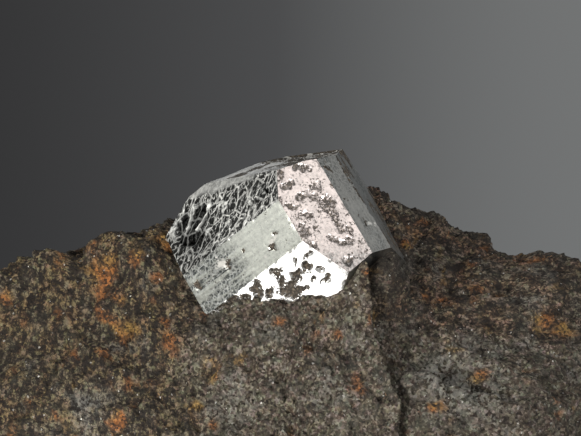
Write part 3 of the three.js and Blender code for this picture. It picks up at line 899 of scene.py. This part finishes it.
class Paint:
    """The nodes of a material or a world, and the one way to add one."""

    def __init__(self, owner):
        self.owner = owner
        owner.use_nodes = True
        self.tree = owner.node_tree
        self.tree.nodes.clear()

    def node(self, kind, settings, inputs, output=0):
        """Adds a node: its settings first, then the values or wires of its sockets."""
        made = self.tree.nodes.new(kind)
        for key, value in settings.items():
            setattr(made, key, value)
        for key, value in inputs.items():
            if isinstance(value, Wire):
                self.tree.links.new(value.socket, made.inputs[key])
            else:
                made.inputs[key].default_value = value
        return Wire(self, made.outputs[output]) if made.outputs else None

    def place(self):
        """Object coordinates, in metres."""
        return self.node("ShaderNodeTexCoord", {}, {}, output="Object")

    def number(self, name, output="Fac"):
        """A number kept on the mesh, or with the output Color a colour."""
        return self.node("ShaderNodeAttribute", {"attribute_name": name}, {}, output=output)

    def part(self, colour, channel):
        """One channel of a colour."""
        return self.node("ShaderNodeSeparateColor", {}, {"Color": colour}, output=channel)

    def noise(self, size_mm, detail=4.0, roughness=0.6, stretch=(1.0, 1.0, 1.0)):
        """Noise with lumps of that size, longer where the stretch is under 1."""
        place = self.node("ShaderNodeMapping", {}, {"Vector": self.place(), "Scale": stretch})
        inputs = {"Vector": place, "Scale": 1 / (size_mm * MM), "Detail": detail}
        inputs["Roughness"] = roughness
        return self.node("ShaderNodeTexNoise", {}, inputs)

    def cells(self, size_mm, output="Color"):
        """Voronoi cells of that size: a colour for each cell, or the distance from its seed."""
        inputs = {"Vector": self.place(), "Scale": 1 / (size_mm * MM)}
        return self.node("ShaderNodeTexVoronoi", {}, inputs, output=output)

    def wall_distance(self, size_mm, bend_mm, lean, stretch):
        """Distance from the walls of Voronoi cells of that size, in cell sizes. The walls are
        bent by noise, and the cells are longer along a line that leans from the vertical."""
        inputs = {"Vector": self.place(), "Scale": 0.7 / (size_mm * MM), "Detail": 3.0}
        bend = self.node("ShaderNodeTexNoise", {}, inputs, output="Color")
        inputs = {0: bend, 1: (bend_mm * MM,) * 3, 2: self.place()}
        bent = self.node("ShaderNodeVectorMath", {"operation": "MULTIPLY_ADD"}, inputs)
        inputs = {"Vector": bent, "Rotation": (0.0, lean, 0.0), "Scale": (1.0, 1.0, stretch)}
        turned = self.node("ShaderNodeMapping", {"vector_type": "TEXTURE"}, inputs)
        inputs = {"Vector": turned, "Scale": 1 / (size_mm * MM)}
        settings = {"feature": "DISTANCE_TO_EDGE"}
        return self.node("ShaderNodeTexVoronoi", settings, inputs, output="Distance")

    def angular(self, amount, size_mm):
        """1 where the amount is over a half, 0 elsewhere, with angular edges: the amount is
        changed at random from cell to cell, and by fine noise."""
        luck = self.part(self.cells(size_mm), "Red")
        torn = self.noise(size_mm * 1.6)
        return self.between(amount * 1.2 - luck * 0.4 + torn * 1.1 - 0.4, 0.44, 0.52)

    def ramp(self, value, stops):
        """A colour for a value, between stops."""
        colour = self.node("ShaderNodeValToRGB", {}, {"Fac": value})
        elements = colour.socket.node.color_ramp.elements
        while len(elements) < len(stops):
            elements.new(1.0)
        for element, (position, tone) in zip(elements, stops):
            element.position = position
            element.color = (*tone, 1.0)
        return colour

    def between(self, value, low, high):
        """0 below low and 1 above high, smooth between."""
        inputs = {"Value": value, "From Min": low, "From Max": high}
        return self.node("ShaderNodeMapRange", {"interpolation_type": "SMOOTHSTEP"}, inputs)

    def blend(self, mask, below, above, kind="MIX"):
        """Colour below where the mask is 0, above where it is 1."""
        below = below if isinstance(below, Wire) else (*below, 1.0)
        above = above if isinstance(above, Wire) else (*above, 1.0)
        settings = {"data_type": "RGBA", "blend_type": kind}
        return self.node("ShaderNodeMix", settings, {0: mask, 6: below, 7: above}, output=2)

    def bump(self, height, distance_mm, strength=1.0):
        """A bump of that height in millimetres."""
        inputs = {"Height": height, "Distance": distance_mm * MM, "Strength": strength}
        return self.node("ShaderNodeBump", {}, inputs)

    def finish(self, **sockets):
        """The Principled shader and the output. Gives the finished material."""
        inputs = {key.replace("_", " "): value for key, value in sockets.items()}
        shader = self.node("ShaderNodeBsdfPrincipled", {}, inputs)
        self.node("ShaderNodeOutputMaterial", {}, {"Surface": shader})
        return self.owner


# Colours and tones. A ramp's stops are each a value and the colour there.
WHITE = (1.0, 1.0, 1.0)
ETCH_LEAN = math.radians(28)
DARK_SILVER = (0.07, 0.077, 0.077)
BRIGHT_SILVER = (0.85, 0.86, 0.82)
FLECK_AND_PAINTED_GLINT_TONE = (0.55, 0.54, 0.5)
# Tones of the painted sheen on frosted ridges.
RIDGE_SHEEN_TONES = [(0.35, (0.2, 0.205, 0.2)), (0.6, BRIGHT_SILVER)]
HOLLOW_TONES = [(0.4, (0.002, 0.002, 0.002)), (0.7, (0.035, 0.036, 0.034))]
GRIME_TONES = [
    (0.36, (0.014, 0.011, 0.008)), (0.5, (0.045, 0.035, 0.024)),
    (0.7, (0.2, 0.16, 0.115)),
]
ROCK_TONES = [
    (0.34, (0.014, 0.0095, 0.006)), (0.48, (0.06, 0.045, 0.03)),
    (0.6, (0.13, 0.106, 0.076)), (0.76, (0.34, 0.3, 0.235)),
]
GREEN_GREY = (0.075, 0.086, 0.068)
OLIVE_TINT = (0.7, 0.66, 0.54)
TAN_TINT = (0.92, 0.75, 0.49)
GREYER_TINT = (0.88, 0.84, 0.78)
REDDER_TINT = (1.12, 0.86, 0.7)
PALE_AND_LIT_ROCK = (0.26, 0.26, 0.235)
CRACK_SHADE = (0.014, 0.009, 0.006)
SHADOW = (0.017, 0.012, 0.008)
FLECK_IN_SHADOW = (0.13, 0.118, 0.09)
RED_RUST = [
    (0.4, (0.06, 0.027, 0.012)), (0.62, (0.23, 0.088, 0.026)),
    (0.85, (0.5, 0.18, 0.045)),
]
YELLOW_RUST = [
    (0.4, (0.065, 0.04, 0.016)), (0.62, (0.24, 0.145, 0.042)),
    (0.85, (0.5, 0.31, 0.09)),
]
GLINT = (0.7, 0.68, 0.64)
ROOM_TONES = [
    (0.0, (0.032, 0.032, 0.033)), (0.55, (0.072, 0.073, 0.075)),
    (1.0, (0.17, 0.175, 0.175)),
]


def cobaltite_finish():
    """Silvery metal with a tint for each face that also holds painted shade, streaks, dirt in its
    pits, and where it is etched a net of thin ridges over black hollows, with a painted sheen on
    the frosted ridges."""
    paint = Paint(bpy.data.materials.new("cobaltite_metal"))
    marks = ("mottled", "shade", "etched", "hollow", "frost_and_painted_sheen")
    mottled, shade, etched, hollow, frost_and_painted_sheen = map(paint.number, marks)
    specks = paint.between(paint.noise(0.13, 3.0), 0.44, 0.35)
    specks = specks * paint.between(paint.noise(0.9, 2.0), 0.36, 0.56)
    spared = paint.between(paint.noise(0.15), 0.5, 0.6) * mottled
    dirt = paint.angular(paint.number("dirt"), 0.13) * (1.0 - spared) * (1.0 - mottled * 0.08)
    dirt = dirt.math("MAXIMUM", specks * mottled * 0.7)
    fleck_and_painted_glint = paint.angular(paint.number("fleck_and_painted_glint"), 0.12)
    grey = paint.between(paint.noise(0.16, 5.0) * 0.6 + paint.noise(0.8) * 0.4, 0.58, 0.42)
    fine = 1.0 - paint.between(paint.wall_distance(0.3, 0.25, ETCH_LEAN, 1.5), 0.025, 0.125)
    bold = 1.0 - paint.between(paint.wall_distance(0.75, 0.5, ETCH_LEAN, 1.8), 0.02, 0.075)
    broken = paint.between(paint.noise(0.14, 5.0, 0.7), 0.38, 0.6)
    darker = grey * 0.2 + shade * (0.35 + broken * 0.65)
    # The face's tint, which holds painted shade on the darker faces.
    metal = paint.blend(darker, paint.number("tint_and_painted_shade", "Color"), DARK_SILVER)
    metal = paint.blend(fine * shade * 0.4, metal, BRIGHT_SILVER)
    kept = paint.between(paint.noise(0.3), 0.41, 0.55) * (1.0 - hollow * 0.9)
    ridge = (fine * kept).math("MAXIMUM", bold * (1.0 - hollow * 0.6)).math("MAXIMUM", frost_and_painted_sheen)
    gap = etched * (1.0 - ridge)
    frost_and_sheen_mask = (ridge * etched).math("MAXIMUM", frost_and_painted_sheen)
    # Frosted ridges and the calm strip are painted a bright grey that is not metal: a painted sheen
    # where they catch the light.
    metal = paint.blend(frost_and_sheen_mask, metal, paint.ramp(paint.noise(0.25), RIDGE_SHEEN_TONES))
    black = paint.ramp(paint.noise(0.3, 3.0), HOLLOW_TONES)
    metal = paint.blend(gap * (0.92 + hollow * 0.08), metal, black)
    colour = paint.blend(dirt, metal, paint.ramp(paint.noise(0.16, 3.0), GRIME_TONES))
    # Painted glints: pale flecks, not metal, where the faces would catch the light.
    colour = paint.blend(fleck_and_painted_glint, colour, FLECK_AND_PAINTED_GLINT_TONE)
    grit = (paint.noise(0.25, 3.0) - 0.5) * 0.25
    rough = paint.number("finish") + grit + dirt * 0.45 + gap * 0.35 + frost_and_sheen_mask * 0.25
    heights = paint.noise(0.08) * 0.15 + ridge * etched - dirt * 0.5
    bumps = paint.bump(heights, 0.035, 0.7)
    metallic = (1.0 - dirt) * (1.0 - fleck_and_painted_glint) * (1.0 - frost_and_sheen_mask * 0.8)
    return paint.finish(Base_Color=colour, Metallic=metallic, Roughness=rough, Normal=bumps)


def rock_grains(paint, grain, left, slope, dark):
    """Random grains: clouds of tone, fibres on the left and beds on the upper right, each grain
    with a little colour of its own, and greener patches."""
    fibres = paint.noise(0.4, stretch=(1.0, 1.0, 0.25))
    beds = paint.noise(0.4, stretch=(0.3, 0.4, 1.0))
    tone = grain + paint.noise(0.5, 6.0, 0.8) * 0.68
    tone = tone + (paint.noise(1.3, 3.0) - 0.5) * 0.25 - dark * 0.05
    tone = tone + (paint.noise(0.6) - 0.5) * left * 0.4
    tone = tone + (fibres - 0.5) * left * 1.1 + (beds - 0.5) * slope * 0.8
    tone = (tone - 0.52) * (1.0 + left * 0.45 + slope * 0.35) + 0.52
    hue = paint.blend(0.82, paint.cells(0.26), WHITE)
    base = paint.blend(1.0, paint.ramp(tone, ROCK_TONES), hue, "MULTIPLY")
    return paint.blend(paint.between(paint.noise(1.6, 3.0), 0.52, 0.66) * 0.3, base, GREEN_GREY)


def side_tints(paint, base, left, slope):
    """The browner left side, olive to tan, and the redder brown of the upper right."""
    tan = paint.between(paint.noise(1.2, stretch=(1.0, 1.0, 0.4)), 0.42, 0.58)
    warm = paint.blend(tan, OLIVE_TINT, TAN_TINT)
    base = paint.blend(left, base, paint.blend(1.0, base, warm, "MULTIPLY"))
    reddish = paint.between(paint.noise(1.2, stretch=(0.5, 0.6, 1.0)), 0.42, 0.6)
    brown = paint.blend(reddish, GREYER_TINT, REDDER_TINT)
    return paint.blend(slope, base, paint.blend(1.0, base, brown, "MULTIPLY"))


def crack_shade(paint, left, slope):
    """Painted shade where ground is lost: seams on the left, beds on the upper right and holes on
    both.
    """
    seams = (paint.noise(0.8, 5.0, 0.65, (1.0, 1.0, 0.5)) - 0.5).math("ABSOLUTE")
    beds = (paint.noise(0.7, 5.0, 0.65, (0.45, 0.6, 1.3)) - 0.5).math("ABSOLUTE")
    holes = paint.between(paint.noise(0.5, 5.0, 0.65), 0.43, 0.37)
    cracked = paint.between(seams, 0.035, 0.01) * left
    bedded = paint.between(beds, 0.035, 0.01) * slope
    hollows = holes * (left + slope).math("MINIMUM", 1.0)
    return cracked.math("MAXIMUM", bedded).math("MAXIMUM", hollows)


def matrix_finish():
    """Fine-grained brown-grey rock: grains in random tones, lighter patches with one of painted
    light, painted shade in cracks, shadows with a few lighter flecks, rust and glints."""
    paint = Paint(bpy.data.materials.new("matrix_stone"))
    left, slope, dark = map(paint.number, ("left", "slope", "dark"))
    tone = paint.part(paint.cells(0.34), "Red")
    speckle = paint.part(paint.cells(0.15), "Green")
    base = rock_grains(paint, tone * 0.13 + speckle * 0.3, left, slope, dark)
    base = side_tints(paint, base, left, slope)
    # Lighter patches of rock, and one of painted light on the lower right front.
    pale_and_painted_light = paint.number("pale_and_painted_light") * paint.between(speckle + tone, 0.5, 1.2)
    base = paint.blend(pale_and_painted_light * 0.55, base, PALE_AND_LIT_ROCK)
    # Painted shade in the cracks and holes.
    base = paint.blend(crack_shade(paint, left, slope) * 0.8, base, CRACK_SHADE)
    grains = paint.between(paint.noise(0.3, 5.0, 0.7), 0.48, 0.6)
    shadowed = paint.blend(0.85 - grains * 0.6, base, SHADOW)
    base = paint.blend(dark.math("MINIMUM", 1.0), base, shadowed)
    flecks = paint.between(paint.noise(0.2, 5.0, 0.7), 0.56, 0.63)
    base = paint.blend(paint.between(dark, 0.4, 1.0) * flecks * 0.8, base, FLECK_IN_SHADOW)
    rusty_tone = speckle * 0.45 + paint.noise(0.35) * 0.7
    red = paint.ramp(rusty_tone, RED_RUST)
    rusty = paint.blend(paint.number("ochre"), red, paint.ramp(rusty_tone, YELLOW_RUST))
    rust = paint.number("rust") * paint.between(speckle + tone * 0.5, -0.3, 0.7) * 0.9
    base = paint.blend(rust, base, rusty)
    glint = paint.between(paint.part(paint.cells(0.1), "Blue"), 0.995, 0.998)
    colour = paint.blend(glint, base, GLINT)
    rough = 0.85 - glint * 0.55
    heights = paint.cells(0.26, "Distance") * 0.7 + paint.cells(0.13, "Distance") * 0.4
    bumps = paint.bump(heights + paint.noise(0.2, 6.0, 0.75) * 0.9, 0.2)
    return paint.finish(Base_Color=colour, Metallic=glint, Roughness=rough, Normal=bumps)


def floor_finish():
    """A plain pale table."""
    paint = Paint(bpy.data.materials.new("pale_table"))
    tone = paint.blend(paint.noise(9.0, 2.0), (0.62, 0.62, 0.61), (0.68, 0.68, 0.67))
    return paint.finish(Base_Color=tone, Roughness=0.7)


# Stage, camera and lights.


def make_camera():
    """The photograph's viewing angle: its line of sight, from as far as its perspective says."""
    data = bpy.data.cameras.new("camera")
    data.sensor_width = 36.0
    data.lens = data.sensor_width * SIGHT_DISTANCE / SIGHT_WIDTH
    data.clip_start = 0.005
    camera = put_object("camera", data)
    camera.location = Vector(to_metres(SIGHT + SIGHT_DISTANCE * TOWARD))
    camera.rotation_euler = (math.pi / 2 - TIP, 0.0, 0.0)
    bpy.context.scene.camera = camera


FLOOR_RADIUS = 0.08
FLOOR_SIDES = 96


def make_floor():
    """A round pale table top: a fan of FLOOR_SIDES triangles round the origin."""
    turn = np.arange(FLOOR_SIDES) / FLOOR_SIDES * 2 * math.pi
    rim = np.stack([np.cos(turn), np.sin(turn), 0 * turn], axis=1) * FLOOR_RADIUS
    points = np.vstack([[[0.0, 0.0, 0.0]], rim])
    floor = put_mesh("table", points, ringed(1, FLOOR_SIDES)[0].tolist())
    floor.data.materials.append(floor_finish())


def softbox(name, direction, distance, width, height, radiance, colour=(1, 1, 1)):
    """An area light seen from the crystal in that direction, with that radiance:
    its power is pi times its area times the radiance."""
    data = bpy.data.lights.new(name, "AREA")
    data.shape = "RECTANGLE"
    data.size = width
    data.size_y = height
    data.energy = math.pi * width * height * radiance
    data.color = colour
    box = put_object(name, data)
    toward = Vector(unit(np.array(direction, float)))
    middle = Vector(to_metres(CRYSTAL_CENTRE))
    box.location = middle + toward * distance
    box.rotation_mode = "QUATERNION"
    box.rotation_quaternion = toward.to_track_quat("Z", "Y")
    box.visible_camera = False


def light_the_stage():
    """Soft boxes where each bright face mirrors one, a low key for the rock, and fills at the front
    and the back.
    """
    softbox("key_low_left", (-0.6, -0.77, 0.1), 0.25, 0.1, 0.05, 36.0, (1.0, 0.97, 0.93))
    softbox("card_at_foot", (-0.455, -0.476, -0.753), 0.0205, 0.014, 0.012, 3.0)
    softbox("panel_left", (-0.916, -0.367, -0.02), 0.09, 0.06, 0.03, 1.1)
    softbox("panel_upper_right", (0.58, -0.323, 0.747), 0.16, 0.09, 0.09, 1.2, (1.0, 0.97, 0.95))
    softbox("panel_back_right", (0.72, 0.499, 0.482), 0.2, 0.1, 0.1, 0.45)
    softbox("fill_front", (0.68, -0.7, 0.25), 0.35, 0.2, 0.15, 6.5)
    softbox("fill_back", (-0.3, 0.95, 0.1), 0.35, 0.2, 0.15, 3.0)


def make_room():
    """A grey room that is darker to the left: its shade follows the direction of view."""
    world = bpy.data.worlds.new("grey_room")
    room = Paint(world)
    direction = room.node("ShaderNodeTexCoord", {}, {}, output="Generated")
    across = room.node("ShaderNodeSeparateXYZ", {}, {"Vector": direction}, output="X")
    shade = room.ramp(room.between(across, -0.16, 0.13), ROOM_TONES)
    lamp = room.node("ShaderNodeBackground", {}, {"Color": shade, "Strength": 1.0})
    room.node("ShaderNodeOutputWorld", {}, {"Surface": lamp})
    bpy.context.scene.world = world


make_camera()
make_floor()
make_room()
light_the_stage()
bpy.context.scene.view_settings.view_transform = "Standard"

rock_points, rock_faces = rock_surface()
rock = put_piece("rock_body", rock_points, rock_faces)
put_numbers(rock, rock_numbers(rock_points))
rock.data.materials.append(matrix_finish())
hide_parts("matrix_rock")

crystal = make_crystal()
crystal.data.materials.append(cobaltite_finish())
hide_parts("cobaltite_crystal")
